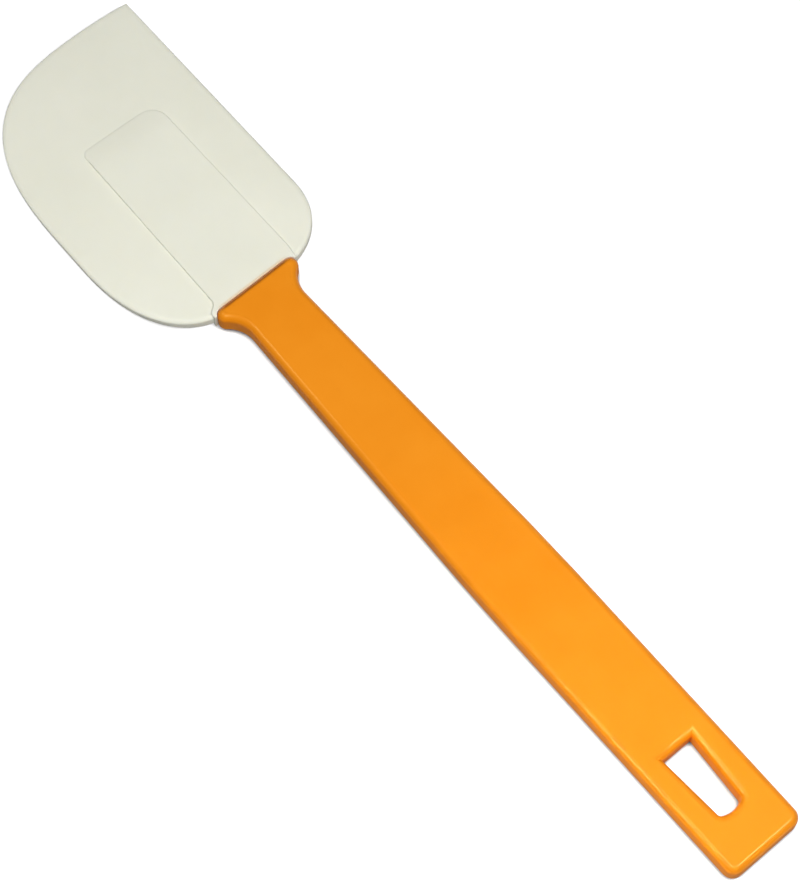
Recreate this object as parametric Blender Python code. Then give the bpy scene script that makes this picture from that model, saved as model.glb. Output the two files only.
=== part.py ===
"""Silicone spatula: a cream silicone blade pushed onto the tang of a moulded orange handle.

Two mouldings make the whole tool. The handle is a flat shank with rounded edges, a flared
shoulder at its neck, a hanging hole near its end and a ribbed tang in front of the shoulder.
The blade is a tapered, crowned plate with one straight edge, one sharp corner and one round
corner. A pocket stands proud of both its faces, and the tang fills the socket inside it.

Metres, +Z up. The spatula lies on the handle's back face, along X, with the handle towards +X.
The origin is the middle of the whole tool's box, at the height that it lies on. Inside that,
every shape is drawn about the joint: x = 0 is the face of the handle's shoulder, y = 0 its
long axis and z = 0 the middle of its thickness.
"""
from math import atan2, cos, degrees, hypot, pi, radians, sin, sqrt

import bmesh
import bpy

MM = 0.001

# Handle
HANDLE_LENGTH = 184.7 * MM        # shoulder to end
HANDLE_THICKNESS = 7.2 * MM
HANDLE_EDGE = 1.9 * MM            # rounding of the outer edges and of the hole's rims
SHOULDER_WIDTH = 24.6 * MM
SHOULDER_CORNER = 0.1 * MM        # corner radius left on the flat face, inside the rounded edge
NECK_LENGTH = 10.0 * MM           # shoulder to waist
WAIST_WIDTH = 16.9 * MM
GRIP_FROM_SHOULDER = 98.0 * MM    # where the shank reaches its full width
GRIP_WIDTH = 22.0 * MM
GRIP_BLEND = 8.0 * MM
END_WIDTH = 21.8 * MM
END_CORNER = 1.0 * MM             # on the flat face, as at the shoulder

# Hanging hole, narrower towards the end of the handle
HOLE_FROM_END = 12.8 * MM
HOLE_LENGTH = 17.8 * MM
HOLE_WIDTH_NECK_SIDE = 8.9 * MM
HOLE_WIDTH_END_SIDE = 6.7 * MM
HOLE_BOW = 1.0 * MM               # bulge of the hole's short side
HOLE_CORNER = 0.5 * MM            # rounding at that side's two ends

# Tang
TANG_LENGTH = 50.5 * MM
TANG_ROOT_WIDTH = 17.2 * MM
TANG_NOSE_WIDTH = 14.2 * MM
TANG_ROOT_THICKNESS = 3.0 * MM
TANG_NOSE_THICKNESS = 2.2 * MM
TANG_NOSE_CORNER = 4.0 * MM
TANG_EDGE = 0.5 * MM
TANG_IN_SHOULDER = 3.0 * MM       # how far the tang's own shape runs into the handle
RIB_WIDTH = 1.8 * MM              # ribs along the tang's sides and middle
RECESS_DEPTH = 0.5 * MM           # the faces between the ribs lie this much lower
RECESS_FROM_SHOULDER = 5.0 * MM
RECESS_FROM_NOSE = 4.5 * MM
RECESS_CORNER = 1.0 * MM

# Blade plate
BLADE_LENGTH = 84.6 * MM          # foremost point to the handle's shoulder
STRAIGHT_SIDE = 26.2 * MM         # axis to the straight edge, at its heel
STRAIGHT_SIDE_AT_TIP = 25.9 * MM
ROUND_SIDE = 29.1 * MM            # axis to the widest point of the curved edge
TIP_OFF_AXIS = 9.5 * MM           # the foremost point lies this far to the straight side
TIP_BOW = 1.05 * MM               # the sharp corner lies this far behind the foremost point
ROUND_CORNER_LENGTH = 46.5 * MM   # foremost point to widest point
ROUND_CORNER_POWER = 2.85
WIDEST_STRETCH = 6.8 * MM         # the curved edge runs straight this far at its widest
ROUND_HEEL_POWER = 2.27           # its heel curve takes up the rest of the blade's length
STRAIGHT_HEEL_LENGTH = 18.0 * MM
STRAIGHT_HEEL_POWER = 2.36
HEEL_CENTRE = 6.0 * MM            # the heel curves would end this far off the axis
HEEL_OVERHANG = 1.7 * MM          # the heels reach this far past the shoulder's face
LIP_WIDTH = 1.4 * MM              # plan width of the plate's rounded lip
PLATE_TIP_THICKNESS = 1.3 * MM
PLATE_HEEL_THICKNESS = 4.0 * MM
PLATE_CROWN = 0.35                # share of its thickness that the plate loses at its sides

# Pocket on both faces of the blade
POCKET_SKIN = 0.85 * MM           # silicone above and below the socket
POCKET_NOSE_WALL = 5.2 * MM
POCKET_NOSE_SLANT = 0.8 * MM      # the nose wall is thinner by this at the straight side
POCKET_ROUND_WALL_AT_NOSE = 2.4 * MM
POCKET_ROUND_WALL_AT_MOUTH = 1.6 * MM
POCKET_STRAIGHT_WALL_AT_NOSE = 5.6 * MM
POCKET_STRAIGHT_WALL_AT_MOUTH = 4.35 * MM
POCKET_ROUND_CORNER = 2.0 * MM
POCKET_STRAIGHT_CORNER = 4.6 * MM
POCKET_EDGE = 0.45 * MM
NOSE_RAMP = 1.8 * MM              # the pocket rises to its full height over this length
NOSE_STEP = 0.3                   # share of its height that it has at the very nose
MOUTH_LIP = 0.6 * MM              # the pocket's mouth is wider than the shoulder by this
MOUTH_FLARE_LENGTH = 1.8 * MM
MOUTH_OVERHANG = 1.2 * MM         # the lip reaches this far past the shoulder's face

FIT = 0.3 * MM                    # clearance between the two mouldings

# Modelling
CUTTER_MARGIN = 2.0 * MM
WELD = 0.001 * MM
ARC_STEPS = 8
OVAL_STEPS = 18
BOW_STEPS = 6
EDGE_STEPS = 3
SHARP_ANGLE = radians(40)
LEVEL = 0.9999                    # a face whose normal's height is over this is level
CELLS_ALONG = (0.15, 0.4, 0.65, 0.85)     # lines across the plate, as shares of its length
CELLS_ACROSS = (0.25, 0.55, 0.8)          # lines along it, as shares of each side's width


def remove_scene_objects():
    for obj in list(bpy.data.objects):
        bpy.data.objects.remove(obj)


def new_collection(name):
    collection = bpy.data.collections.new(name)
    bpy.context.scene.collection.children.link(collection)
    return collection


def linear(channel):
    """Linear light of an sRGB channel given from 0 to 255."""
    c = channel / 255
    return c / 12.92 if c <= 0.04045 else ((c + 0.055) / 1.055) ** 2.4


def plastic(name, srgb, roughness):
    mat = bpy.data.materials.new(name)
    mat.use_nodes = True
    colour = [linear(channel) for channel in srgb] + [1.0]
    shader = mat.node_tree.nodes["Principled BSDF"]
    shader.inputs["Base Color"].default_value = colour
    shader.inputs["Roughness"].default_value = roughness
    shader.inputs["Metallic"].default_value = 0.0
    mat.diffuse_color = colour
    return mat


def arc(centre, radius, start, end):
    """Points of an arc between two angles in degrees, both ends included."""
    points = []
    for i in range(ARC_STEPS + 1):
        angle = radians(start + (end - start) * i / ARC_STEPS)
        points.append((centre[0] + radius * cos(angle), centre[1] + radius * sin(angle)))
    return points


def oval(upright, level, power):
    """Quarter of a superellipse, from its point with an upright tangent to its level one."""
    points = []
    for i in range(OVAL_STEPS + 1):
        angle = pi / 2 * i / OVAL_STEPS
        x = level[0] + (upright[0] - level[0]) * abs(cos(angle)) ** (2 / power)
        y = upright[1] + (level[1] - upright[1]) * abs(sin(angle)) ** (2 / power)
        points.append((x, y))
    return points


def rounded(corners):
    """Outline through (x, y, reach) corners, each rounded from that far along its two sides."""
    points = []
    for i, (x, y, reach) in enumerate(corners):
        if reach <= 0:
            points.append((x, y))
            continue
        before = corners[i - 1]
        after = corners[(i + 1) % len(corners)]
        ax, ay = before[0] - x, before[1] - y
        bx, by = after[0] - x, after[1] - y
        ax, ay = ax / hypot(ax, ay), ay / hypot(ax, ay)
        bx, by = bx / hypot(bx, by), by / hypot(bx, by)
        # A rational curve with this weight at the corner is an exact arc.
        weight = sqrt((1 - ax * bx - ay * by) / 2)
        for step in range(ARC_STEPS + 1):
            t = step / ARC_STEPS
            first, middle, last = (1 - t) ** 2, 2 * t * (1 - t) * weight, t * t
            scale = reach / (first + middle + last)
            points.append((x + (first * ax + last * bx) * scale,
                           y + (first * ay + last * by) * scale))
    return points


def both_sides(half):
    """The corners of the y > 0 side and their mirror images, anticlockwise."""
    mirrored = [(x, -y, reach) for x, y, reach in half]
    return mirrored + half[::-1]


def slab(name, outlines, half_thickness, edge, collection):
    """A flat solid with rounded edges: the first outline is its outside, the rest are holes."""
    curve = bpy.data.curves.new(name, "CURVE")
    curve.dimensions = "2D"
    curve.fill_mode = "BOTH"
    curve.extrude = half_thickness - edge
    curve.bevel_depth = edge
    curve.bevel_resolution = EDGE_STEPS
    curve.offset = -edge
    for outline in outlines:
        spline = curve.splines.new("POLY")
        spline.points.add(len(outline) - 1)
        for point, (x, y) in zip(spline.points, outline):
            point.co = (x, y, 0, 1)
        spline.use_cyclic_u = True
    drawn = bpy.data.objects.new(name + "_outline", curve)
    collection.objects.link(drawn)
    graph = bpy.context.evaluated_depsgraph_get()
    mesh = bpy.data.meshes.new_from_object(drawn.evaluated_get(graph))
    bpy.data.objects.remove(drawn)
    mesh.name = name
    bm = bmesh.new()
    bm.from_mesh(mesh)
    bmesh.ops.remove_doubles(bm, verts=bm.verts[:], dist=WELD)
    bmesh.ops.recalc_face_normals(bm, faces=bm.faces[:])
    bm.to_mesh(mesh)
    bm.free()
    obj = bpy.data.objects.new(name, mesh)
    collection.objects.link(obj)
    return obj


def cut_into_cells(obj, x_lines, y_lines):
    """Make each flat face one face again, then cut it along lines that a curved face can follow."""
    bm = bmesh.new()
    bm.from_mesh(obj.data)
    flat = [face for face in bm.faces if abs(face.normal.z) > LEVEL]
    bmesh.ops.dissolve_faces(bm, faces=flat)
    for x in x_lines:
        geometry = bm.verts[:] + bm.edges[:] + bm.faces[:]
        bmesh.ops.bisect_plane(bm, geom=geometry, plane_co=(x, 0, 0), plane_no=(1, 0, 0))
    for y in y_lines:
        geometry = bm.verts[:] + bm.edges[:] + bm.faces[:]
        bmesh.ops.bisect_plane(bm, geom=geometry, plane_co=(0, y, 0), plane_no=(0, 1, 0))
    bmesh.ops.triangulate(bm, faces=[face for face in bm.faces if len(face.verts) > 3])
    bm.to_mesh(obj.data)
    bm.free()


def set_thickness(obj, half_thickness, half_at):
    """Scale each point's height, so that the slab is as thick there as half_at(x, y) says."""
    for vertex in obj.data.vertices:
        vertex.co.z *= half_at(vertex.co.x, vertex.co.y) / half_thickness


def along(x, nose_x, at_nose, at_root):
    """A value that changes evenly from the nose to the shoulder's face."""
    return at_root + (at_nose - at_root) * x / nose_x


def boolean(obj, tool, operation):
    modifier = obj.modifiers.new(tool.name, "BOOLEAN")
    modifier.object = tool
    modifier.operation = operation
    modifier.solver = "EXACT"
    tool.hide_render = True
    tool.display_type = "WIRE"


def finish(obj, material, root):
    obj.data.materials.clear()
    obj.data.materials.append(material)
    obj.data.shade_smooth()
    obj.data.set_sharp_from_angle(angle=SHARP_ANGLE)
    obj.parent = root


def neck_side(grow):
    """One side of the neck from the shoulder's face to the waist, moved outwards by grow.

    A round corner runs into a hollow curve that meets the waist level with it.
    """
    corner_radius = SHOULDER_CORNER + HANDLE_EDGE
    corner = (corner_radius, SHOULDER_WIDTH / 2 - corner_radius)
    run = NECK_LENGTH - corner_radius
    rise = corner[1] - WAIST_WIDTH / 2
    hollow_radius = (run ** 2 + rise ** 2 - corner_radius ** 2) / (2 * (rise + corner_radius))
    hollow = (NECK_LENGTH, WAIST_WIDTH / 2 + hollow_radius)
    meeting = degrees(atan2(hollow[1] - corner[1], hollow[0] - corner[0]))
    points = arc(corner, corner_radius + grow, 180, meeting)
    points += arc(hollow, hollow_radius - grow, 180 + meeting, 270)[1:]
    return [(x, y, 0) for x, y in points]


def handle_outline():
    side = neck_side(0)
    side.append((GRIP_FROM_SHOULDER, GRIP_WIDTH / 2, GRIP_BLEND))
    side.append((HANDLE_LENGTH, END_WIDTH / 2, END_CORNER + HANDLE_EDGE))
    return rounded(both_sides(side))


def hole_outline():
    """The hole runs clockwise, so that its rims round outwards."""
    near = HANDLE_LENGTH - HOLE_FROM_END
    far = near - HOLE_LENGTH
    outline = [(far, -HOLE_WIDTH_NECK_SIDE / 2, 0), (far, HOLE_WIDTH_NECK_SIDE / 2, 0)]
    for i in range(BOW_STEPS + 1):
        t = i / BOW_STEPS
        reach = HOLE_CORNER if i in (0, BOW_STEPS) else 0
        outline.append((near + HOLE_BOW * 4 * t * (1 - t), HOLE_WIDTH_END_SIDE * (0.5 - t), reach))
    return rounded(outline)


def tang_half_width(x):
    return along(x, -TANG_LENGTH, TANG_NOSE_WIDTH, TANG_ROOT_WIDTH) / 2


def tang_half_thickness(x):
    return along(x, -TANG_LENGTH, TANG_NOSE_THICKNESS, TANG_ROOT_THICKNESS) / 2


def tang_shape(name, grow, collection):
    """The tang's tapered tongue, or with a clearance the socket that it fills."""
    nose_half = TANG_NOSE_WIDTH / 2 + grow
    root_half = tang_half_width(TANG_IN_SHOULDER) + grow
    half = [(-TANG_LENGTH - grow, nose_half, TANG_NOSE_CORNER + grow),
            (TANG_IN_SHOULDER, root_half, 0)]
    thickness = TANG_ROOT_THICKNESS / 2 + grow
    shape = slab(name, [rounded(both_sides(half))], thickness, TANG_EDGE, collection)
    set_thickness(shape, thickness, lambda x, y: tang_half_thickness(x) + grow)
    return shape


def tang_recess(name, side, face, collection):
    """Cutter between two ribs, on one side of the axis (1 or -1) and on one face (1 or -1)."""
    nose_x = -TANG_LENGTH + RECESS_FROM_NOSE
    root_x = -RECESS_FROM_SHOULDER
    inner = RIB_WIDTH / 2
    corners = [(nose_x, side * inner), (root_x, side * inner),
               (root_x, side * (tang_half_width(root_x) - RIB_WIDTH)),
               (nose_x, side * (tang_half_width(nose_x) - RIB_WIDTH))]
    outline = rounded([(x, y, RECESS_CORNER) for x, y in corners])
    cutter = slab(name, [outline], RECESS_DEPTH, 0, collection)
    for vertex in cutter.data.vertices:
        outer = (vertex.co.z > 0) == (face > 0)
        level = CUTTER_MARGIN if outer else -RECESS_DEPTH
        vertex.co.z = face * (tang_half_thickness(vertex.co.x) + level)
    return cutter


def build_handle(parts, cutters, root):
    outlines = [handle_outline(), hole_outline()]
    handle = slab("handle", outlines, HANDLE_THICKNESS / 2, HANDLE_EDGE, parts)
    boolean(handle, tang_shape("tang_tongue", 0, cutters), "UNION")
    for side in (1, -1):
        for face in (1, -1):
            name = "tang_recess_%s_%s" % ("left" if side > 0 else "right",
                                          "front" if face > 0 else "back")
            boolean(handle, tang_recess(name, side, face, cutters), "DIFFERENCE")
    finish(handle, plastic("orange_plastic", (249, 155, 38), 0.28), root)


def blade_outline():
    tip_x = -BLADE_LENGTH
    widest_x = tip_x + ROUND_CORNER_LENGTH
    outline = oval((tip_x, TIP_OFF_AXIS), (widest_x, -ROUND_SIDE), ROUND_CORNER_POWER)
    heel_start = (widest_x + WIDEST_STRETCH, -ROUND_SIDE)
    outline += oval((HEEL_OVERHANG, -HEEL_CENTRE), heel_start, ROUND_HEEL_POWER)[::-1]
    heel_start = (HEEL_OVERHANG - STRAIGHT_HEEL_LENGTH, STRAIGHT_SIDE)
    outline += oval((HEEL_OVERHANG, HEEL_CENTRE), heel_start, STRAIGHT_HEEL_POWER)
    for i in range(BOW_STEPS):
        t = 1 - i / BOW_STEPS
        y = TIP_OFF_AXIS + (STRAIGHT_SIDE_AT_TIP - TIP_OFF_AXIS) * t
        outline.append((tip_x + TIP_BOW * t * t, y))
    return outline


def plate_half_thickness(x, y):
    """Thin at the tip, fuller towards the heel, and thinner again to both sides."""
    t = min(1.0, max(0.0, 1 + x / BLADE_LENGTH))
    middle = PLATE_TIP_THICKNESS + (PLATE_HEEL_THICKNESS - PLATE_TIP_THICKNESS) * t * (2 - t)
    sideways = y / (STRAIGHT_SIDE if y > 0 else ROUND_SIDE)
    return middle / 2 * (1 - PLATE_CROWN * sideways ** 2)


def plate(collection):
    half = 2 * LIP_WIDTH
    obj = slab("blade", [blade_outline()], half, LIP_WIDTH, collection)
    x_lines = [-BLADE_LENGTH * share for share in CELLS_ALONG]
    y_lines = [0] + [STRAIGHT_SIDE * share for share in CELLS_ACROSS]
    y_lines += [-ROUND_SIDE * share for share in CELLS_ACROSS]
    cut_into_cells(obj, x_lines, y_lines)
    set_thickness(obj, half, plate_half_thickness)
    return obj


def pocket_nose_x():
    return -TANG_LENGTH - FIT - POCKET_NOSE_WALL


def pocket_half_thickness(x, y):
    """The socket with its skin, but sloping down towards the plate at the nose."""
    full = tang_half_thickness(x) + FIT + POCKET_SKIN
    share = min(1.0, NOSE_STEP + (1 - NOSE_STEP) * (x - pocket_nose_x()) / NOSE_RAMP)
    plate_there = plate_half_thickness(x, y)
    return plate_there + (full - plate_there) * share


def pocket(collection):
    """Raised slab round the socket. Its mouth flares out to a lip round the shoulder's corners."""
    nose_x = pocket_nose_x()
    nose_socket = TANG_NOSE_WIDTH / 2 + FIT
    mouth_x = -FIT - MOUTH_FLARE_LENGTH
    mouth_socket = TANG_ROOT_WIDTH / 2 + FIT
    lip = SHOULDER_WIDTH / 2 + MOUTH_LIP
    corners = [
        (nose_x, -nose_socket - POCKET_ROUND_WALL_AT_NOSE, POCKET_ROUND_CORNER),
        (mouth_x, -mouth_socket - POCKET_ROUND_WALL_AT_MOUTH, MOUTH_FLARE_LENGTH / 2),
        (-FIT, -lip, MOUTH_FLARE_LENGTH / 3),
        (MOUTH_OVERHANG, -lip, 0),
        (MOUTH_OVERHANG, lip, 0),
        (-FIT, lip, MOUTH_FLARE_LENGTH / 3),
        (mouth_x, mouth_socket + POCKET_STRAIGHT_WALL_AT_MOUTH, MOUTH_FLARE_LENGTH / 2),
        (nose_x + POCKET_NOSE_SLANT, nose_socket + POCKET_STRAIGHT_WALL_AT_NOSE,
         POCKET_STRAIGHT_CORNER),
    ]
    half = TANG_ROOT_THICKNESS / 2 + FIT + POCKET_SKIN
    obj = slab("pocket", [rounded(corners)], half, POCKET_EDGE, collection)
    cut_into_cells(obj, [nose_x + NOSE_RAMP], [])
    set_thickness(obj, half, pocket_half_thickness)
    return obj


def neck_seat(collection):
    """Cutter that clears the handle's shoulder and neck."""
    outline = [(x, y) for x, y, reach in both_sides(neck_side(FIT))]
    return slab("neck_seat", [outline], HANDLE_THICKNESS / 2 + CUTTER_MARGIN, 0, collection)


def build_blade(parts, cutters, root):
    blade = plate(parts)
    boolean(blade, pocket(cutters), "UNION")
    boolean(blade, tang_shape("socket", FIT, cutters), "DIFFERENCE")
    boolean(blade, neck_seat(cutters), "DIFFERENCE")
    finish(blade, plastic("cream_silicone", (232, 234, 218), 0.5), root)


def build():
    remove_scene_objects()
    parts = new_collection("silicone_spatula")
    cutters = new_collection("cutters")
    root = bpy.data.objects.new("joint", None)
    root.location = ((BLADE_LENGTH - HANDLE_LENGTH) / 2, (ROUND_SIDE - STRAIGHT_SIDE) / 2,
                     HANDLE_THICKNESS / 2)
    parts.objects.link(root)
    build_handle(parts, cutters, root)
    build_blade(parts, cutters, root)
    for cutter in cutters.objects:
        cutter.parent = root


build()
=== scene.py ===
# %% [markdown]
# A silicone spatula, as a lesson in modelling two moulded parts that fit together.
#
# The real tool is two mouldings. A stiff orange handle ends in a flat tongue, the tang, and a soft
# cream blade is pushed over it as far as the handle's shoulder. Nothing else holds them: no screw,
# no pin. So the lesson makes two pieces, each from a flat outline that is given its thickness,
# its rounded rims and its openings, the way a mould maker would draw it.

# %% Load the frame
from math import asin, atan2, cos, degrees, radians, sin

import bmesh
import bpy
from mathutils import Matrix, Vector


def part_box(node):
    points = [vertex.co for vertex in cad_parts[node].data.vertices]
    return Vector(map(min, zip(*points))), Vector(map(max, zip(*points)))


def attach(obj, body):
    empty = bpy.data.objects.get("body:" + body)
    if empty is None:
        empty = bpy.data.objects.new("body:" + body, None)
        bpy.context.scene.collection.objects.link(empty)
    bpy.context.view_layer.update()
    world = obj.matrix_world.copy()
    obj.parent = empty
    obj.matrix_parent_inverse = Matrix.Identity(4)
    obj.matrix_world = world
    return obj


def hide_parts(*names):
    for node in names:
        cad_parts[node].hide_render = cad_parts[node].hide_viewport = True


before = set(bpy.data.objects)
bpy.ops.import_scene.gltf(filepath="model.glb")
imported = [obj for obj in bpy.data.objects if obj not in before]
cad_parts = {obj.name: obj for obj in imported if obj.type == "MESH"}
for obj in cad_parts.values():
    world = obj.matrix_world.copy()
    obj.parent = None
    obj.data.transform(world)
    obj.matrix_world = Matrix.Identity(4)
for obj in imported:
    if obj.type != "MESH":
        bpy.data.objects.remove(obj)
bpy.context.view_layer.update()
MM = 0.001

handle_low, handle_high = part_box("handle")
blade_low, blade_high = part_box("blade")
print("The frame's handle is %.1f mm long and the blade %.1f mm wide" % (
    (handle_high.x - handle_low.x) / MM, (blade_high.y - blade_low.y) / MM))

# %% [markdown]
# Both mouldings are drawn about one point: the middle of the shoulder's face, where the blade
# stops. X runs along the handle, Y across it and Z up. The frame's boxes give the lengths, so a
# change in the solids carries over, and the smaller sizes are written here.

# %% Lengths from the frame
BLADE_LENGTH = 84.6 * MM
handle_length = handle_high.x - blade_low.x - BLADE_LENGTH
handle_thickness = handle_high.z - handle_low.z
shoulder_width = handle_high.y - handle_low.y
tang_length = -(handle_low.x - blade_low.x - BLADE_LENGTH)
joint = Vector((blade_low.x + BLADE_LENGTH, (handle_low.y + handle_high.y) / 2, handle_thickness / 2))
straight_side = blade_high.y - joint.y
round_side = joint.y - blade_low.y
print("Shoulder at x = %.2f mm, handle %.1f mm and tang %.1f mm long" % (
    joint.x / MM, handle_length / MM, tang_length / MM))

# %% [markdown]
# The camera comes first, so that every later step can be looked at. The picture was taken from
# above the end of the handle with a longish lens, so the tool lies across it from corner to corner.
# A camera is easiest to place by what it looks at: a point on the handle's top face, the turn
# round it, the height above the floor as an angle, and the distance.

# %% Camera
AIM = Vector((5.24 * MM, 1.89 * MM, 7.2 * MM))
TURN = radians(-40.4)
RISE = radians(68.6)
DISTANCE = 635 * MM
LENS = 108.3                        # on Blender's 36 mm sensor

towards_camera = Vector((cos(RISE) * cos(TURN), cos(RISE) * sin(TURN), sin(RISE)))
camera_data = bpy.data.cameras.new("camera")
camera_data.lens = LENS
camera = bpy.data.objects.new("camera", camera_data)
camera.location = AIM + towards_camera * DISTANCE
camera.rotation_euler = (-towards_camera).to_track_quat("-Z", "Y").to_euler()
bpy.context.scene.collection.objects.link(camera)
bpy.context.scene.camera = camera
print("The camera stands at", tuple(round(c, 3) for c in camera.location))

# %% [markdown]
# The light is plain studio light from above. The picture shows where its lamps hung by where it is
# bright: a large one near the camera lights everything, one past the handle's end lifts the orange
# there, and a weak one over the blade evens out the cream. The narrow fourth one only draws the
# glint on the rim of the hanging hole, so its beam is kept to the handle's end. Oval area lamps
# give soft shading, and a faint white world fills the shadows.

# %% Lights
# Place, what it faces, width, height, spread in degrees and watts. Lengths are in millimetres.
LAMPS = {
    "key": ((150, -125, 560), (0, 0, 0), 160, 160, 180, 2.0),
    "back": ((262, 130, 535), (100, 0, 0), 100, 100, 180, 1.44),
    "front": ((-250, -170, 470), (-90, -10, 0), 120, 120, 180, 0.56),
    "glint": ((38, -362, 300), (116, -4, 0), 25, 80, 28, 0.023),
}
FILL = 0.04                         # strength of the world
WHITE = (1.0, 1.0, 1.0, 1.0)


def add_lamp(name, place, target, width, height, spread, power):
    """Hang an oval area lamp that faces its target."""
    data = bpy.data.lights.new(name, "AREA")
    data.shape = "ELLIPSE"
    data.size = width * MM
    data.size_y = height * MM
    data.spread = radians(spread)
    data.energy = power
    made = bpy.data.objects.new(name, data)
    made.location = Vector(place) * MM
    made.rotation_euler = (Vector(target) - Vector(place)).to_track_quat("-Z", "Y").to_euler()
    bpy.context.scene.collection.objects.link(made)


for name, settings in LAMPS.items():
    add_lamp(name, *settings)

world = bpy.data.worlds.new("world")
bpy.context.scene.world = world
world.use_nodes = True
world.node_tree.nodes["Background"].inputs["Color"].default_value = WHITE
world.node_tree.nodes["Background"].inputs["Strength"].default_value = FILL
bpy.context.scene.view_settings.view_transform = "Standard"
print(len(LAMPS), "lamps, and a fill of", FILL)

# %% [markdown]
# Every finish is built from nodes, and four helpers keep that short. One adds a node, plugs other
# nodes into it and sets its numbers. One does a sum. One maps a value from one range to another,
# which turns a distance, a slope or a noise into something that a finish can use. And one gives
# the camera another shader than the bounced light, which the floor needs.

# %% Node helpers
NOISE_LEAST = 0.3                   # a noise seldom leaves the range between these two
NOISE_MOST = 0.7


def node(tree, kind, *sources, **settings):
    """Add a node, plug the sources into its first sockets, and set its properties or its named
    inputs. A source of None leaves its socket free."""
    made = tree.nodes.new(kind)
    for name, value in settings.items():
        if name in made.inputs:
            made.inputs[name].default_value = value
        else:
            setattr(made, name, value)
    for socket, source in zip(made.inputs, sources):
        if source is not None:
            tree.links.new(source, socket)
    return made


def calculate(tree, operation, *values):
    """The result of a sum, such as ADD or ABSOLUTE, with one or two nodes' values."""
    return node(tree, "ShaderNodeMath", *values, operation=operation).outputs["Value"]


def between(tree, value, low, high, start=NOISE_LEAST, end=NOISE_MOST, easing="LINEAR"):
    """Map a value so that it runs from low to high as it goes from start to end, and no further.
    With no start and end given, the value is a noise."""
    made = node(tree, "ShaderNodeMapRange", value, interpolation_type=easing)
    for name, limit in (("From Min", start), ("From Max", end), ("To Min", low), ("To Max", high)):
        made.inputs[name].default_value = limit
    return made.outputs["Result"]


def seen_and_unseen(tree, seen, unseen):
    """One shader for the camera and for reflections, and another for the light that bounces."""
    path = node(tree, "ShaderNodeLightPath").outputs
    looked_at = calculate(tree, "MAXIMUM", path["Is Camera Ray"], path["Is Glossy Ray"])
    looked_at = calculate(tree, "MAXIMUM", looked_at, path["Is Transmission Ray"])
    return node(tree, "ShaderNodeMixShader", looked_at, unseen, seen).outputs["Shader"]


print("Helpers for nodes: node, calculate, between and seen_and_unseen")

# %% [markdown]
# The floor is a plain white sheet that only has to catch the shadow. Where the camera sees it, it
# shines a little by itself, and more so further off, so it reads as white paper without a stronger
# lamp. Close beside the tool hardly any light gets in. An Ambient Occlusion node measures how open
# each point is, so the paper darkens there and keeps a thin soft shade under the edges.

# %% Floor
FLOOR_SIZE = 40.0                   # metres
DULL_PAPER = (0.2, 0.2, 0.2, 1.0)   # the paper as bounced light finds it
GLOW_NEAR = 0.45                    # the paper's own light beside the tool
GLOW_FAR = 0.95                     # and far off
GLOW_FROM = 0.15                    # metres from the tool's middle, where the first one ends
GLOW_TO = 0.9                       # and where the second one begins
SHADE_REACH = 1.4 * MM              # how far out the tool is felt
SHADE_RAYS = 8
CLOSED = 0.3                        # share of open sky at which the shade is full
OPEN = 0.9                          # and at which it ends
SHADE_WHITE = 0.1                   # the paper's own white in the full shade
PAPER_WHITE = 0.95                  # and outside it

bm = bmesh.new()
bmesh.ops.create_grid(bm, x_segments=1, y_segments=1, size=FLOOR_SIZE / 2)
floor_mesh = bpy.data.meshes.new("floor")
bm.to_mesh(floor_mesh)
bm.free()
floor = bpy.data.objects.new("floor", floor_mesh)
bpy.context.scene.collection.objects.link(floor)

paper = bpy.data.materials.new("white_paper")
paper.use_nodes = True
tree = paper.node_tree
tree.nodes.remove(tree.nodes["Principled BSDF"])
openness = node(tree, "ShaderNodeAmbientOcclusion", Distance=SHADE_REACH, samples=SHADE_RAYS)
whiteness = between(tree, openness.outputs["AO"], SHADE_WHITE, PAPER_WHITE, CLOSED, OPEN)
lit_paper = node(tree, "ShaderNodeBsdfDiffuse", whiteness).outputs["BSDF"]
place = node(tree, "ShaderNodeTexCoord").outputs["Object"]
distance = node(tree, "ShaderNodeVectorMath", place, operation="LENGTH").outputs["Value"]
glow = between(tree, distance, GLOW_NEAR, GLOW_FAR, GLOW_FROM, GLOW_TO, "SMOOTHSTEP")
glow = calculate(tree, "MULTIPLY", glow, whiteness)
own_light = node(tree, "ShaderNodeEmission", None, glow, Color=WHITE).outputs["Emission"]
seen_paper = node(tree, "ShaderNodeAddShader", lit_paper, own_light).outputs["Shader"]
dull_paper = node(tree, "ShaderNodeBsdfDiffuse", Color=DULL_PAPER).outputs["BSDF"]
surface = seen_and_unseen(tree, seen_paper, dull_paper)
tree.links.new(surface, tree.nodes["Material Output"].inputs["Surface"])
floor.data.materials.append(paper)
print("Floor %.0f m square" % FLOOR_SIZE)

# %% [markdown]
# Some helpers for drawing. An outline is drawn like a pen stroke: a vertex is carried along a
# straight line, or spun about a centre for an arc, and the closed stroke is filled with one face.
# A bmesh spin of a single vertex makes exactly the arc that a compass would. The last two helpers
# turn a finished bmesh into an object and measure it: a closed piece has no loose edge.

# %% Pen helpers
TINY = 0.0005 * MM                  # points closer than this are one point
NEAR = 10 * TINY                    # what lies this close to a plane lies in it


def line_to(bm, pen, x, y):
    """Draw a straight edge from the pen, and give its far end."""
    end = bm.verts.new((x, y, 0))
    bm.edges.new((pen, end))
    return end


def arc_about(bm, pen, x, y, angle, steps):
    """Draw an arc from the pen about (x, y), by an angle in degrees, and give its far end."""
    made = bmesh.ops.spin(bm, geom=[pen], cent=(x, y, 0), axis=(0, 0, 1), dvec=(0, 0, 0),
                          angle=radians(angle), steps=steps, use_merge=False)
    return [v for v in made["geom_last"] if isinstance(v, bmesh.types.BMVert)][0]


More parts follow.
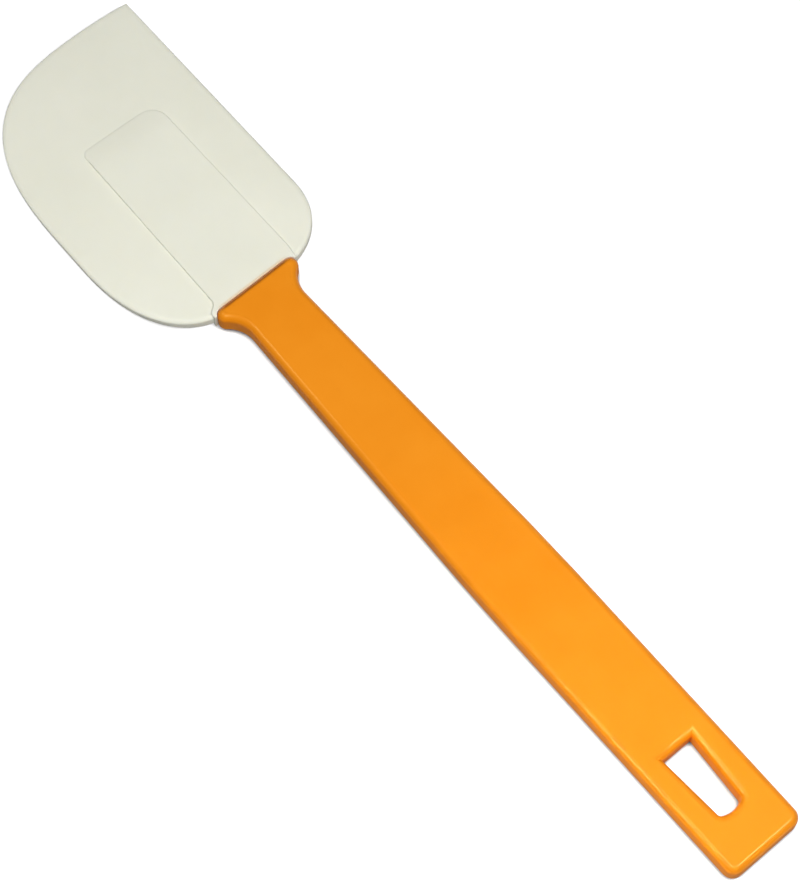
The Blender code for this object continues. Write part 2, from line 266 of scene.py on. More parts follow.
def fill_outline(bm):
    """Close the stroke's seams and fill it with one face."""
    bmesh.ops.remove_doubles(bm, verts=bm.verts[:], dist=TINY)
    bmesh.ops.contextual_create(bm, geom=bm.edges[:])


def round_corner(bm, x, y, reach, segments):
    """Round the outline's corner at (x, y), from that far along its two sides."""
    corner = min(bm.verts, key=lambda v: (v.co.xy - Vector((x, y))).length)
    bmesh.ops.bevel(bm, geom=[corner], offset=reach, offset_type="OFFSET", segments=segments,
                    profile=0.5, affect="VERTICES", material=-1)


def mirror_half(bm):
    """Add the other half of a symmetric outline, across the tool's long axis."""
    bmesh.ops.mirror(bm, geom=bm.verts[:] + bm.edges[:] + bm.faces[:], merge_dist=TINY, axis="Y")


def to_object(bm, name):
    """Hand a bmesh over to a new object of that name."""
    mesh = bpy.data.meshes.new(name)
    bm.to_mesh(mesh)
    bm.free()
    made = bpy.data.objects.new(name, mesh)
    bpy.context.scene.collection.objects.link(made)
    return made


def measure(obj):
    """Print a piece's faces and volume, and how many of its edges don't join two faces."""
    bm = bmesh.new()
    bm.from_mesh(obj.data)
    loose = sum(len(edge.link_faces) != 2 for edge in bm.edges)
    print("%s: %d faces, %.2f cm3, %d loose edges" % (
        obj.name, len(bm.faces), bm.calc_volume() / (10 * MM) ** 3, loose))
    bm.free()


print("The pen joins points closer than %.4f mm" % (TINY / MM))

# %% [markdown]
# The handle's outline. The shoulder's corner is a small arc that runs into a larger hollow one,
# and the two meet where their tangents agree, so the neck flows without a kink. From the waist
# the shank widens in a straight line to the grip. The outline is symmetric, so only one half is
# drawn, and mirrored later. The neck is a function, because the blade's seat follows it too.

# %% Handle: the neck
SHOULDER_CORNER = 2.0 * MM
NECK_LENGTH = 10.0 * MM
WAIST = 16.9 * MM
ARC_STEPS = 14

half_shoulder = shoulder_width / 2
corner_y = half_shoulder - SHOULDER_CORNER
run = NECK_LENGTH - SHOULDER_CORNER
rise = corner_y - WAIST / 2
hollow = (run ** 2 + rise ** 2 - SHOULDER_CORNER ** 2) / (2 * (rise + SHOULDER_CORNER))
hollow_y = WAIST / 2 + hollow
meeting = degrees(atan2(hollow_y - corner_y, run))


def draw_neck(bm, pen, grow=0.0):
    """From the shoulder's face round its corner and along the hollow to the waist."""
    pen = line_to(bm, pen, -grow, corner_y)
    pen = arc_about(bm, pen, SHOULDER_CORNER, corner_y, meeting - 180, ARC_STEPS)
    return arc_about(bm, pen, NECK_LENGTH, hollow_y, 90 - meeting, ARC_STEPS)


print("Neck hollow of radius %.1f mm, meeting the corner at %.0f degrees" % (hollow / MM, meeting))

# %% [markdown]
# The hanging hole takes a hook. It narrows towards the end of the handle, and its short side there
# bows out a little. That side is an arc through three known points, so its radius follows from
# its width and its bow. Half of the hole is part of the same stroke: the pen goes out along the
# shank, round the end, back along the hole and home to the shoulder.

# %% Handle: shank and hanging hole
GRIP_START = 98.0 * MM
GRIP_WIDTH = 22.0 * MM
GRIP_BLEND = 8.0 * MM
END_WIDTH = 21.8 * MM
END_CORNER = 2.9 * MM
HOLE_TO_END = 12.8 * MM
HOLE_LENGTH = 17.8 * MM
HOLE_NECK_WIDTH = 8.9 * MM
HOLE_END_WIDTH = 6.7 * MM
HOLE_BOW = 1.0 * MM
HOLE_CORNER = 0.5 * MM

hole_end = handle_length - HOLE_TO_END
hole_start = hole_end - HOLE_LENGTH
bow_radius = ((HOLE_END_WIDTH / 2) ** 2 + HOLE_BOW ** 2) / (2 * HOLE_BOW)
bow_angle = degrees(asin(HOLE_END_WIDTH / 2 / bow_radius))

bm = bmesh.new()
pen = bm.verts.new((0, 0, 0))
pen = draw_neck(bm, pen)
pen = line_to(bm, pen, GRIP_START, GRIP_WIDTH / 2)
pen = line_to(bm, pen, handle_length, END_WIDTH / 2)
pen = line_to(bm, pen, handle_length, 0)
pen = line_to(bm, pen, hole_end + HOLE_BOW, 0)
pen = arc_about(bm, pen, hole_end + HOLE_BOW - bow_radius, 0, bow_angle, ARC_STEPS // 2)
pen = line_to(bm, pen, hole_start, HOLE_NECK_WIDTH / 2)
pen = line_to(bm, pen, hole_start, 0)
pen = line_to(bm, pen, 0, 0)
fill_outline(bm)
round_corner(bm, GRIP_START, GRIP_WIDTH / 2, GRIP_BLEND, ARC_STEPS // 2)
round_corner(bm, handle_length, END_WIDTH / 2, END_CORNER, ARC_STEPS)
round_corner(bm, hole_end, HOLE_END_WIDTH / 2, HOLE_CORNER, ARC_STEPS // 2)
mirror_half(bm)
print("Handle outline:", len(bm.verts), "points,", len(bm.faces), "faces")

# %% [markdown]
# Extruding the flat face gives the handle its thickness. Its rims, those of the hole too, are then
# rounded with one bevel, because one cutter radius would make them all in the mould. The rims
# are the edges where a level face meets an upright wall, so they can be picked by that rule.

# %% Handle: thickness and rims
RIM = 1.9 * MM                      # radius of the rounded rims
RIM_STEPS = 8
FLAT = 0.999                        # a face whose normal's height is over this is level
UPRIGHT = 0.02                      # and under this it is a wall


def extrude_flat(bm, half_thickness):
    """Extrude the outline's faces to a slab with its middle at z = 0."""
    made = bmesh.ops.extrude_face_region(bm, geom=bm.faces[:])
    top = [v for v in made["geom"] if isinstance(v, bmesh.types.BMVert)]
    bmesh.ops.translate(bm, verts=top, vec=(0, 0, 2 * half_thickness))
    bmesh.ops.translate(bm, verts=bm.verts[:], vec=(0, 0, -half_thickness))
    bmesh.ops.recalc_face_normals(bm, faces=bm.faces[:])


def rims(bm):
    """Edges between a level face and an upright one."""
    found = []
    for edge in bm.edges:
        heights = sorted(abs(face.normal.z) for face in edge.link_faces)
        if len(heights) == 2 and heights[0] < UPRIGHT and heights[1] > FLAT:
            found.append(edge)
    return found


def round_edges(bm, edges, radius, segments):
    """Bevel edges to a round of that radius."""
    bmesh.ops.bevel(bm, geom=edges, offset=radius, offset_type="OFFSET", segments=segments,
                    profile=0.5, affect="EDGES", material=-1, clamp_overlap=False)


extrude_flat(bm, handle_thickness / 2)
round_edges(bm, rims(bm), RIM, RIM_STEPS)
print("Handle with its rims:", len(bm.faces), "faces")

# %% [markdown]
# The tang grows out of the shoulder. Insetting the shoulder's wall gives a rectangle of the tang's
# thickness, which is scaled to its width, drawn out to its length and narrowed at the nose. On the
# finished tool the blade hides it, but it shows when the blade is pulled off.

# %% Handle: the tang
TANG_ROOT = (17.2 * MM, 3.0 * MM)   # width and thickness
TANG_NOSE = (14.2 * MM, 2.2 * MM)


def faces_facing(bm, direction, at_x):
    """Faces whose normal has that direction, with their middle at at_x."""
    return [face for face in bm.faces if face.normal.dot(Vector(direction)) > FLAT
            and abs(face.calc_center_median().x - at_x) < NEAR]


def box_of(face):
    """Width and height of a face that looks along X."""
    ys = [v.co.y for v in face.verts]
    zs = [v.co.z for v in face.verts]
    return max(ys) - min(ys), max(zs) - min(zs)


seam = [edge for edge in bm.edges
        if all(abs(v.co.x) < TINY and abs(v.co.y) < TINY for v in edge.verts)]
bmesh.ops.dissolve_edges(bm, edges=seam, use_verts=True)
shoulder_face = max(faces_facing(bm, (-1, 0, 0), 0), key=lambda face: face.calc_area())
wall_height = box_of(shoulder_face)[1]
bmesh.ops.inset_individual(bm, faces=[shoulder_face], thickness=(wall_height - TANG_ROOT[1]) / 2,
                           use_even_offset=True)
bmesh.ops.scale(bm, vec=(1, TANG_ROOT[0] / box_of(shoulder_face)[0], 1),
                verts=shoulder_face.verts[:])
nose = bmesh.ops.extrude_discrete_faces(bm, faces=[shoulder_face])["faces"][0]
bmesh.ops.translate(bm, vec=(-tang_length, 0, 0), verts=nose.verts[:])
bmesh.ops.scale(bm, vec=(1, TANG_NOSE[0] / TANG_ROOT[0], TANG_NOSE[1] / TANG_ROOT[1]),
                verts=nose.verts[:])
print("Tang's nose is %.1f by %.1f mm" % tuple(size / MM for size in box_of(nose)))

# %% [markdown]
# A tang with sharp corners would cut the silicone as the blade is pushed on. So its nose is
# rounded as seen from above, and its long edges get a small radius. Both are bevels: first the
# nose's two upright edges, then the rims in front of the shoulder, picked by the rims' own rule.

# %% Handle: rounding the tang
TANG_CORNER = 4.0 * MM
TANG_EDGE = 0.5 * MM
TANG_STEPS = 10

nose_corners = [edge for edge in nose.edges
                if abs(edge.verts[0].co.y - edge.verts[1].co.y) < TINY]
round_edges(bm, nose_corners, TANG_CORNER, TANG_STEPS)
tang_rims = [edge for edge in rims(bm) if all(v.co.x < TINY for v in edge.verts)]
round_edges(bm, tang_rims, TANG_EDGE, TANG_STEPS // 2)
handle = to_object(bm, "handle_moulding")
measure(handle)

# %% [markdown]
# A solid tang would leave a sink mark in the plastic, so it is thinned on both faces and keeps ribs
# along its sides and its middle. Four shallow cutters do that with a Boolean. Each is drawn flat,
# and its floor follows the tang's taper, which one function gives for every piece that needs it.

# %% Handle: the tang's recesses
RIB = 1.8 * MM
RECESS = 0.5 * MM
RECESS_FROM_SHOULDER = 5.0 * MM
RECESS_FROM_NOSE = 4.5 * MM
RECESS_CORNER = 1.0 * MM
OVERSHOOT = 2.0 * MM                # how far a cutter stands out of what it cuts


def tang_half(x, side):
    """Half the tang's width (side 0) or thickness (side 1) at x."""
    return (TANG_ROOT[side] + (TANG_NOSE[side] - TANG_ROOT[side]) * -x / tang_length) / 2


def combine(obj, tool, operation):
    """Join a tool to an object, or cut it out, with an exact Boolean, and remove the tool."""
    modifier = obj.modifiers.new(tool.name, "BOOLEAN")
    modifier.object = tool
    modifier.operation = operation
    modifier.solver = "EXACT"
    graph = bpy.context.evaluated_depsgraph_get()
    obj.data = bpy.data.meshes.new_from_object(obj.evaluated_get(graph))
    obj.modifiers.clear()
    bpy.data.objects.remove(tool)


def recess_cutter(side, face):
    """A cutter for the recess on one side, 1 or -1, of one face, 1 for the upper and -1."""
    nose_x = RECESS_FROM_NOSE - tang_length
    root_x = -RECESS_FROM_SHOULDER
    bm = bmesh.new()
    pen = bm.verts.new((nose_x, side * RIB / 2, 0))
    corners = [(root_x, side * RIB / 2), (root_x, side * (tang_half(root_x, 0) - RIB)),
               (nose_x, side * (tang_half(nose_x, 0) - RIB)), (nose_x, side * RIB / 2)]
    for x, y in corners:
        pen = line_to(bm, pen, x, y)
    fill_outline(bm)
    for x, y in corners:
        round_corner(bm, x, y, RECESS_CORNER, TANG_STEPS // 2)
    extrude_flat(bm, RECESS)
    for v in bm.verts:
        depth = OVERSHOOT if v.co.z * face > 0 else -RECESS
        v.co.z = face * (tang_half(v.co.x, 1) + depth)
    return to_object(bm, "recess_cutter")


for side in (1, -1):
    for face in (1, -1):
        combine(handle, recess_cutter(side, face), "DIFFERENCE")
measure(handle)

# %% [markdown]
# The blade's outline has one straight edge for the bowl's wall, a sharp corner, and a large round
# corner. The round stretches are fuller than a circle would be, so they are quarter superellipses:
# a power of 2 is an ellipse, and a higher one is squarer. The end has a very slight bow.

# %% Blade: outline
STRAIGHT_SIDE_AT_TIP = 25.9 * MM
TIP_OFF_AXIS = 9.5 * MM
TIP_BOW = 1.05 * MM
ROUND_CORNER_LENGTH = 46.5 * MM
ROUND_CORNER_POWER = 2.85
WIDEST_STRETCH = 6.8 * MM
ROUND_HEEL_POWER = 2.27
STRAIGHT_HEEL_LENGTH = 18.0 * MM
STRAIGHT_HEEL_POWER = 2.36
HEEL_CENTRE = 6.0 * MM
HEEL_OVERHANG = 1.7 * MM
OVAL_STEPS = 36
TIP_STEPS = 6                       # few, because each must be longer than the lip is wide


def oval_to(bm, pen, upright, level, power, start, end):
    """Draw a quarter superellipse between the point with an upright tangent (0 degrees) and the
    one with a level tangent (90 degrees), from start to end, and give its far end."""
    for step in range(1, OVAL_STEPS + 1):
        angle = radians(start + (end - start) * step / OVAL_STEPS)
        x = level[0] + (upright[0] - level[0]) * abs(cos(angle)) ** (2 / power)
        y = upright[1] + (level[1] - upright[1]) * abs(sin(angle)) ** (2 / power)
        pen = line_to(bm, pen, x, y)
    return pen


tip_x = -BLADE_LENGTH
widest_x = tip_x + ROUND_CORNER_LENGTH
round_heel_x = widest_x + WIDEST_STRETCH
straight_heel_x = HEEL_OVERHANG - STRAIGHT_HEEL_LENGTH
bow_width = STRAIGHT_SIDE_AT_TIP - TIP_OFF_AXIS
tip_radius = (bow_width ** 2 + TIP_BOW ** 2) / (2 * TIP_BOW)
tip_angle = degrees(asin(bow_width / tip_radius))

bm = bmesh.new()
pen = bm.verts.new((tip_x, TIP_OFF_AXIS, 0))
pen = oval_to(bm, pen, (tip_x, TIP_OFF_AXIS), (widest_x, -round_side), ROUND_CORNER_POWER, 0, 90)
pen = line_to(bm, pen, round_heel_x, -round_side)
pen = oval_to(bm, pen, (HEEL_OVERHANG, -HEEL_CENTRE), (round_heel_x, -round_side),
              ROUND_HEEL_POWER, 90, 0)
pen = line_to(bm, pen, HEEL_OVERHANG, HEEL_CENTRE)
pen = oval_to(bm, pen, (HEEL_OVERHANG, HEEL_CENTRE), (straight_heel_x, straight_side),
              STRAIGHT_HEEL_POWER, 0, 90)
pen = line_to(bm, pen, tip_x + TIP_BOW, STRAIGHT_SIDE_AT_TIP)
pen = arc_about(bm, pen, tip_x + tip_radius, TIP_OFF_AXIS, tip_angle, TIP_STEPS)
fill_outline(bm)
print("Blade outline:", len(bm.verts), "points,", len(bm.faces), "face")

# %% [markdown]
# A blade is thin at its tip and fuller at its heel, and its faces are slightly crowned. That is
# awkward to fillet, so the blade is first made flat, at one thickness, where every crease is
# clean, and only then brought to its true thickness. Here is the flat plate with its rounded lip.

# %% Blade: the flat plate
LIP = 1.4 * MM
PLATE_LEVEL = 2.8 * MM              # half the flat plate's thickness, before it gets its own
LIP_STEPS = 8

extrude_flat(bm, PLATE_LEVEL)
round_edges(bm, rims(bm), LIP, LIP_STEPS)
blade = to_object(bm, "blade_moulding")
measure(blade)

# %% [markdown]
# The tang needs room, so the silicone swells round it to a raised pocket with a level top. Its walls
# are uneven, with the wide one on the straight side. At its mouth it flares to a thin collar round
# the shoulder's corners, and its corners are rounded by different reaches, so the outline is a
# list of corners. It is joined to the plate with a Boolean. Here it stands higher than the real one,
# so that the radius along its top and the fillet at its foot both find room on its wall.

# %% Blade: the pocket
FIT = 0.3 * MM                      # clearance between the two mouldings
POCKET_RAISE = 1.25 * MM            # how far it stands above the flat plate
NOSE_WALL = 5.2 * MM
NOSE_SLANT = 0.8 * MM
ROUND_WALL_NOSE = 2.4 * MM
ROUND_WALL_MOUTH = 1.6 * MM
STRAIGHT_WALL_NOSE = 5.6 * MM
STRAIGHT_WALL_MOUTH = 4.35 * MM
ROUND_NOSE_CORNER = 2.0 * MM
STRAIGHT_NOSE_CORNER = 4.6 * MM
COLLAR = 0.6 * MM
COLLAR_REACH = 1.2 * MM
FLARE = 1.8 * MM
POCKET_EDGE = 0.25 * MM
FINE_STEPS = 4                      # steps in each of the small radii

nose_x = -tang_length - FIT - NOSE_WALL
mouth_x = -FIT - FLARE
nose_half = TANG_NOSE[0] / 2 + FIT
mouth_half = TANG_ROOT[0] / 2 + FIT
collar_half = half_shoulder + COLLAR
pocket_corners = [                  # x, y and how far the rounding reaches
    (nose_x, -nose_half - ROUND_WALL_NOSE, ROUND_NOSE_CORNER),
    (mouth_x, -mouth_half - ROUND_WALL_MOUTH, FLARE / 2),
    (-FIT, -collar_half, FLARE / 3),
    (COLLAR_REACH, -collar_half, 0),
    (COLLAR_REACH, collar_half, 0),
    (-FIT, collar_half, FLARE / 3),
    (mouth_x, mouth_half + STRAIGHT_WALL_MOUTH, FLARE / 2),
    (nose_x + NOSE_SLANT, nose_half + STRAIGHT_WALL_NOSE, STRAIGHT_NOSE_CORNER),
]
bm = bmesh.new()
first = pen = bm.verts.new((pocket_corners[0][0], pocket_corners[0][1], 0))
for x, y, reach in pocket_corners[1:]:
    pen = line_to(bm, pen, x, y)
line_to(bm, pen, first.co.x, first.co.y)
fill_outline(bm)
for x, y, reach in pocket_corners:
    if reach:
        round_corner(bm, x, y, reach, ARC_STEPS // 2)
extrude_flat(bm, PLATE_LEVEL + POCKET_RAISE)
round_edges(bm, rims(bm), POCKET_EDGE, FINE_STEPS)
pocket = to_object(bm, "pocket")
measure(pocket)
combine(blade, pocket, "UNION")
measure(blade)

# %% [markdown]
# The Boolean leaves a sharp crease at the pocket's foot. Any mould has a small fillet there, and a
# bevel makes one in a crease just as on a rim. The crease is found by the rims' rule as well, level
# beside upright, because by now those are the only such edges that are still sharp.

# %% Blade: the fillet at the pocket's foot
CREASE = 0.42 * MM


def total_length(edges):
    """Length of all the edges together, in millimetres."""
    return sum(edge.calc_length() for edge in edges) / MM


bm = bmesh.new()
bm.from_mesh(blade.data)
creases = rims(bm)
print("Crease: %d edges, %.1f mm" % (len(creases), total_length(creases)))
round_edges(bm, creases, CREASE, FINE_STEPS)

# %% [markdown]
# Now the true thickness. A flat face can't bend, so it is first cut along a grid of lines, a few
# millimetres apart. Then each point's height is moved: what lay on the flat plate goes to the
# plate's crowned surface, what lay on the flat pocket goes to the pocket's, and what lay
# between keeps its share of the way, so the fillets come along. At its nose the pocket rises
# slowly, over a long low ramp, so its edge almost fades away there.

# %% Blade: true thickness
CELL = 3.0 * MM
PLATE_AT_TIP = 1.3 * MM
PLATE_AT_HEEL = 4.0 * MM
CROWN = 0.35                        # share of its thickness that the plate loses at its sides
POCKET_SKIN = 0.85 * MM             # silicone over the socket
NOSE_RAMP = 5.0 * MM
NOSE_STEP = 0.25                    # share of its height that the pocket has at the very nose


def cut_across(bm, place, normal):
    """Add a line of edges where a plane goes through."""
    bmesh.ops.bisect_plane(bm, geom=bm.verts[:] + bm.edges[:] + bm.faces[:], dist=TINY,
                           plane_co=place, plane_no=normal)


def plate_half(x, y):
    """Half the plate's thickness at a point of its outline's plane."""
    t = min(1.0, max(0.0, 1 + x / BLADE_LENGTH))
    middle = PLATE_AT_TIP + (PLATE_AT_HEEL - PLATE_AT_TIP) * t * (2 - t)
    sideways = y / (straight_side if y > 0 else round_side)
    return middle / 2 * (1 - CROWN * sideways ** 2)


def true_height(x, y, z):
    """The height on the finished blade of a point on the flat one."""
    plate = plate_half(x, y)
    if abs(z) <= PLATE_LEVEL:
        return z / PLATE_LEVEL * plate
    pocket = tang_half(x, 1) + FIT + POCKET_SKIN
    nose_here = nose_x + NOSE_SLANT * (y + nose_half) / (2 * nose_half)
    ramp = min(1.0, max(0.0, NOSE_STEP + (1 - NOSE_STEP) * (x - nose_here) / NOSE_RAMP))
    share = ramp * (abs(z) - PLATE_LEVEL) / POCKET_RAISE
    return (plate + (pocket - plate) * share) * (1 if z > 0 else -1)


for i in range(1, int(BLADE_LENGTH / CELL)):
    cut_across(bm, (tip_x + i * CELL, 0, 0), (1, 0, 0))
for i in range(1, int((straight_side + round_side) / CELL) + 1):
    cut_across(bm, (0, i * CELL - round_side, 0), (0, 1, 0))
for v in bm.verts:
    v.co.z = true_height(*v.co)
bm.to_mesh(blade.data)
bm.free()
measure(blade)

# %% [markdown]
# Two cuts fit the blade to the handle. One is the socket, the tang's own shape grown by the
# clearance. The other is the seat, the neck's outline grown by less, because the soft mouth closes
# up to the shoulder. It opens the socket and leaves the collar standing round the corners.

# %% Blade: socket and seat
SOCKET_IN_SHOULDER = 3.0 * MM
SEAT_FIT = 0.08 * MM


def socket_tool():
    """The tang grown by the clearance, and drawn on into the shoulder."""
    far = -tang_length - FIT
    bm = bmesh.new()
    pen = bm.verts.new((far, 0, 0))
    pen = line_to(bm, pen, far, TANG_NOSE[0] / 2 + FIT)
    pen = line_to(bm, pen, SOCKET_IN_SHOULDER, tang_half(SOCKET_IN_SHOULDER, 0) + FIT)
    pen = line_to(bm, pen, SOCKET_IN_SHOULDER, 0)
    line_to(bm, pen, far, 0)
    fill_outline(bm)
    round_corner(bm, far, TANG_NOSE[0] / 2 + FIT, TANG_CORNER + FIT, TANG_STEPS)
    mirror_half(bm)
    level = TANG_ROOT[1] / 2 + FIT
    extrude_flat(bm, level)
    round_edges(bm, rims(bm), TANG_EDGE, TANG_STEPS // 2)
    for v in bm.verts:
        v.co.z *= (tang_half(v.co.x, 1) + FIT) / level
    return to_object(bm, "socket_tool")


def seat_tool():
    """The neck's outline grown by the seat's clearance, from far below to far above."""
    bm = bmesh.new()
    pen = bm.verts.new((-SEAT_FIT, 0, 0))
    pen = draw_neck(bm, pen, SEAT_FIT)
    pen = line_to(bm, pen, NECK_LENGTH, 0)
    line_to(bm, pen, -SEAT_FIT, 0)
    fill_outline(bm)
    mirror_half(bm)
    extrude_flat(bm, handle_thickness / 2 + OVERSHOOT)
    return to_object(bm, "seat_tool")


combine(blade, socket_tool(), "DIFFERENCE")
combine(blade, seat_tool(), "DIFFERENCE")
measure(blade)

# %% [markdown]
# Cutting the seat leaves the mouth with a knife edge along the pocket's outer faces. Soft silicone
# doesn't keep one, and the picture has a soft line there, so those edges are rounded slightly.
# They are the ones in the seat's plane that lie well outside the socket.

# %% Blade: the mouth's edge
MOUTH_EDGE = 0.35 * MM
LEANING = 0.5                       # a face whose normal's height is over this faces up or down


def mouth_rims(bm):
    """Straight edges between the mouth's upright face and the pocket's outer faces."""
    outside = tang_half(0, 1) + FIT + POCKET_SKIN / 2
    found = []
    for edge in bm.edges:
        if all(abs(v.co.x + SEAT_FIT) < NEAR and abs(v.co.z) > outside for v in edge.verts):
            if max(abs(face.normal.z) for face in edge.link_faces) > LEANING:
                found.append(edge)
    return found


bm = bmesh.new()
bm.from_mesh(blade.data)
rim = mouth_rims(bm)
print("Mouth's edge: %d edges, %.1f mm" % (len(rim), total_length(rim)))
round_edges(bm, rim, MOUTH_EDGE, FINE_STEPS)
bm.to_mesh(blade.data)
bm.free()
measure(blade)

# %% [markdown]
# The two finishes share a few marks of real mouldings. Clouds are noise on the object's own
# coordinates, at the size of the real ones, so they stay put when the piece moves. Grain is finer
# noise turned into a bump. Both are also painted along the seam between the two pieces, the plastic
# with shade and the silicone with warm light, so a helper tells how close a point lies to it.

# %% Finish helpers
# how far the painted shade and painted warm light of the seam reach round the shoulder's corners
SEAM_WHOLE_TO = 1.5 * MM            # the seam's marks fade from this far inside its corners
SEAM_GONE_AT = 1.0 * MM             # and are gone this far outside them


def linear(channel):
    """Linear light of an sRGB channel given from 0 to 255."""
    c = channel / 255
    return c / 12.92 if c <= 0.04045 else ((c + 0.055) / 1.055) ** 2.4


def colour(*srgb):
    """A shader's colour from red, green and blue given from 0 to 255."""
    return tuple(linear(channel) for channel in srgb) + (1.0,)


def noise(tree, coordinates, scale, detail):
    """Noise with that many bumps for each metre, and that many finer layers in them."""
    return node(tree, "ShaderNodeTexNoise", coordinates, Scale=scale, Detail=detail).outputs["Fac"]


def blend_colours(tree, factor, first, second):
    """Go from a first colour, which may be another node's, to a second one."""
    made = node(tree, "ShaderNodeMix", factor, data_type="RGBA")
    in_a, in_b = [socket for socket in made.inputs if socket.type == "RGBA"]
    if isinstance(first, bpy.types.NodeSocket):
        tree.links.new(first, in_a)
    else:
        in_a.default_value = first
    in_b.default_value = second
    return [socket for socket in made.outputs if socket.type == "RGBA"][0]


def near_seam(tree, coordinates, centre, whole, gone):
    """How close a point is to a line across the tool, at centre from the shoulder's face: 1 up to
    the distance whole from it, and 0 past the distance gone or beside the shoulder."""
    away = node(tree, "ShaderNodeVectorMath", coordinates, operation="SUBTRACT")
    away.inputs[1].default_value = joint + Vector((centre, 0, 0))
    away = node(tree, "ShaderNodeVectorMath", away.outputs["Vector"], operation="ABSOLUTE")
    parts = node(tree, "ShaderNodeSeparateXYZ", away.outputs["Vector"]).outputs
    along = between(tree, parts["X"], 1, 0, whole, gone)
    across = between(tree, parts["Y"], 1, 0, corner_y - SEAM_WHOLE_TO, corner_y + SEAM_GONE_AT)
    return calculate(tree, "MULTIPLY", along, across)


def levelness(tree):
    """1 on a level face and 0 on an upright wall."""
    normal = node(tree, "ShaderNodeTexCoord").outputs["Normal"]
    return calculate(tree, "ABSOLUTE", node(tree, "ShaderNodeSeparateXYZ", normal).outputs["Z"])


def bump(tree, height, distance):
    """A normal that is disturbed by a height."""
    made = node(tree, "ShaderNodeBump", Strength=1.0, Distance=distance)
    tree.links.new(height, made.inputs["Height"])
    return made.outputs["Normal"]


print("Marks of the seam end %.1f mm from the axis" % ((corner_y + SEAM_GONE_AT) / MM))

# %% [markdown]
# The handle is hard, opaque plastic, moulded in a polished tool, so it is smooth with a soft gloss.
# What keeps it from looking like a drawing is that nothing on it is quite even. The melt leaves
# faint clouds in its colour and gloss. The upright walls slid along the mould as it opened, which
# made them duller, and they are painted a deeper orange as shade. A thin line of dark brown
# painted shade sits against the seam. The numbers that are the same all over are set on the
# shader itself.

# %% Finish: orange plastic
ORANGE = colour(238, 145, 32)
ORANGE_DEEP = colour(234, 139, 26)
# painted shade for the upright walls
ORANGE_WALL_SHADE = colour(240, 138, 8)
# painted shade along the seam
SEAM_SHADE_BROWN = colour(172, 92, 13)
WARM_GLOSS = (1.0, 0.9, 0.35, 1.0)
MELT_CLOUDS = (60, 3.0)             # bumps for each metre, and finer layers
POLISH_CLOUDS = (120, 3.0)
PLASTIC_GRAIN = (350, 2.0)
PLASTIC_GRAIN_HEIGHT = 0.003 * MM
POLISH = (0.25, 0.27)               # least and most roughness on the level faces
WALL_DULLNESS = 0.4                 # roughness that the walls have on top of it
DULL_RANGE = (0.25, 0.6)            # levelness up to which a wall is fully dull, and where that ends
WALL_SHADE_RANGE = (0.45, 0.85)           # the same for the deeper orange
SEAM_SHADE_CENTRE = 0.8 * MM             # from the shoulder's face
SEAM_SHADE_RANGE = (0.1 * MM, 0.55 * MM)

plastic = bpy.data.materials.new("orange_plastic")
plastic.use_nodes = True
tree = plastic.node_tree
shader = tree.nodes["Principled BSDF"]
shader.inputs["IOR"].default_value = 1.49
shader.inputs["Specular IOR Level"].default_value = 0.3
shader.inputs["Specular Tint"].default_value = WARM_GLOSS
place = node(tree, "ShaderNodeTexCoord").outputs["Object"]
level = levelness(tree)
clouds = between(tree, noise(tree, place, *MELT_CLOUDS), 0, 1)
orange = blend_colours(tree, clouds, ORANGE, ORANGE_DEEP)
# painted shade: the upright walls get a deeper, darker orange
orange = blend_colours(tree, between(tree, level, 1, 0, *WALL_SHADE_RANGE), orange, ORANGE_WALL_SHADE)
# painted shade: a thin dark brown line on the plastic against the seam
seam_shade = near_seam(tree, place, SEAM_SHADE_CENTRE, *SEAM_SHADE_RANGE)
orange = blend_colours(tree, seam_shade, orange, SEAM_SHADE_BROWN)
tree.links.new(orange, shader.inputs["Base Color"])
polish = between(tree, noise(tree, place, *POLISH_CLOUDS), *POLISH)
dullness = between(tree, level, WALL_DULLNESS, 0, *DULL_RANGE)
tree.links.new(calculate(tree, "ADD", polish, dullness), shader.inputs["Roughness"])
grain = noise(tree, place, *PLASTIC_GRAIN)
tree.links.new(bump(tree, grain, PLASTIC_GRAIN_HEIGHT), shader.inputs["Normal"])
print("Orange plastic:", len(tree.nodes), "nodes")
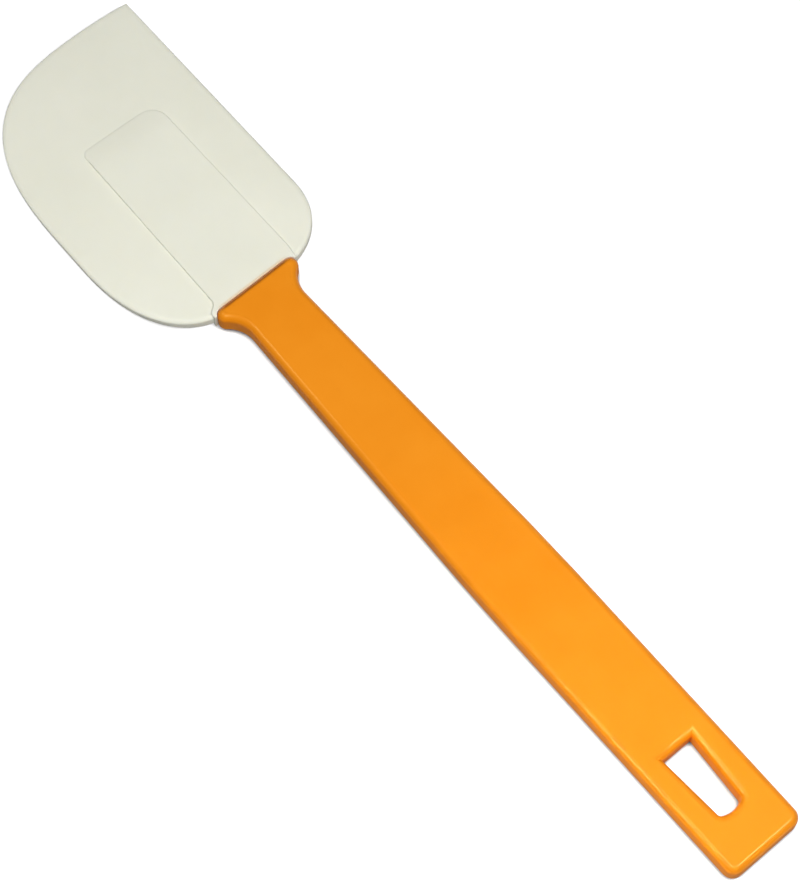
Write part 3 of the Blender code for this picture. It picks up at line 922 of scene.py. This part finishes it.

# %% [markdown]
# Silicone is softer to the eye too. Light goes a little way into it, so it has no hard shadows
# of its own, and its surface comes off a satin mould, so it shines only faintly. A Principled
# shader with some subsurface light and a high roughness does both, over a fine grain. Right at the
# seam the silicone is painted a warm tint, as painted light for the orange light that bounces onto
# it and shines through it.

# %% Finish: cream silicone
CREAM = colour(236, 236, 221)
CREAM_DEEP = colour(232, 232, 216)
# painted light: warm bounce from the orange at the seam
CREAM_BOUNCE_LIGHT = colour(222, 204, 172)
LIGHT_REACH = 1.2 * MM              # how far red light travels inside
LIGHT_SHARES = (1.0, 0.9, 0.7)      # and how far red, green and blue do beside that
SILICONE_CLOUDS = (45, 4.0)
SATIN_CLOUDS = (220, 3.0)
SILICONE_GRAIN = (1400, 3.0)
SILICONE_GRAIN_HEIGHT = 0.008 * MM
SATIN = (0.5, 0.62)                 # least and most roughness
BOUNCE_LIGHT_CENTRE = -0.05 * MM            # from the shoulder's face
BOUNCE_LIGHT_RANGE = (0.25 * MM, 0.9 * MM)

silicone = bpy.data.materials.new("cream_silicone")
silicone.use_nodes = True
tree = silicone.node_tree
shader = tree.nodes["Principled BSDF"]
shader.inputs["IOR"].default_value = 1.41
shader.inputs["Subsurface Weight"].default_value = 0.25
shader.inputs["Subsurface Radius"].default_value = LIGHT_SHARES
shader.inputs["Subsurface Scale"].default_value = LIGHT_REACH
place = node(tree, "ShaderNodeTexCoord").outputs["Object"]
clouds = between(tree, noise(tree, place, *SILICONE_CLOUDS), 0, 1)
cream = blend_colours(tree, clouds, CREAM, CREAM_DEEP)
# painted light: a warm tint at the seam for orange light bouncing onto the silicone
cream = blend_colours(tree, near_seam(tree, place, BOUNCE_LIGHT_CENTRE, *BOUNCE_LIGHT_RANGE), cream, CREAM_BOUNCE_LIGHT)
tree.links.new(cream, shader.inputs["Base Color"])
satin = between(tree, noise(tree, place, *SATIN_CLOUDS), *SATIN)
tree.links.new(satin, shader.inputs["Roughness"])
grain = noise(tree, place, *SILICONE_GRAIN)
tree.links.new(bump(tree, grain, SILICONE_GRAIN_HEIGHT), shader.inputs["Normal"])
print("Cream silicone:", len(tree.nodes), "nodes")

# %% [markdown]
# Both pieces are finished alike. They shade smoothly but keep edges that are truly sharp, and
# weighted normals let the large level faces stay level right up to their rounded rims. Then each
# goes to its place, takes its material and rides on its own body, and the frame's plain solid
# that it stands for is hidden.

# %% Place the pieces
SHARP = radians(35)


def finish_piece(obj, material, body):
    """Move a moulding to the joint, shade it, and let it stand for its body's solid."""
    obj.data.transform(Matrix.Translation(joint))
    obj.data.shade_smooth()
    obj.data.set_sharp_from_angle(angle=SHARP)
    weighted = obj.modifiers.new("weighted_normals", "WEIGHTED_NORMAL")
    weighted.keep_sharp = True
    obj.data.materials.clear()
    obj.data.materials.append(material)
    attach(obj, body)
    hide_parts(body)


finish_piece(handle, plastic, "handle")
finish_piece(blade, silicone, "blade")
print("Placed", handle.name, "and", blade.name)
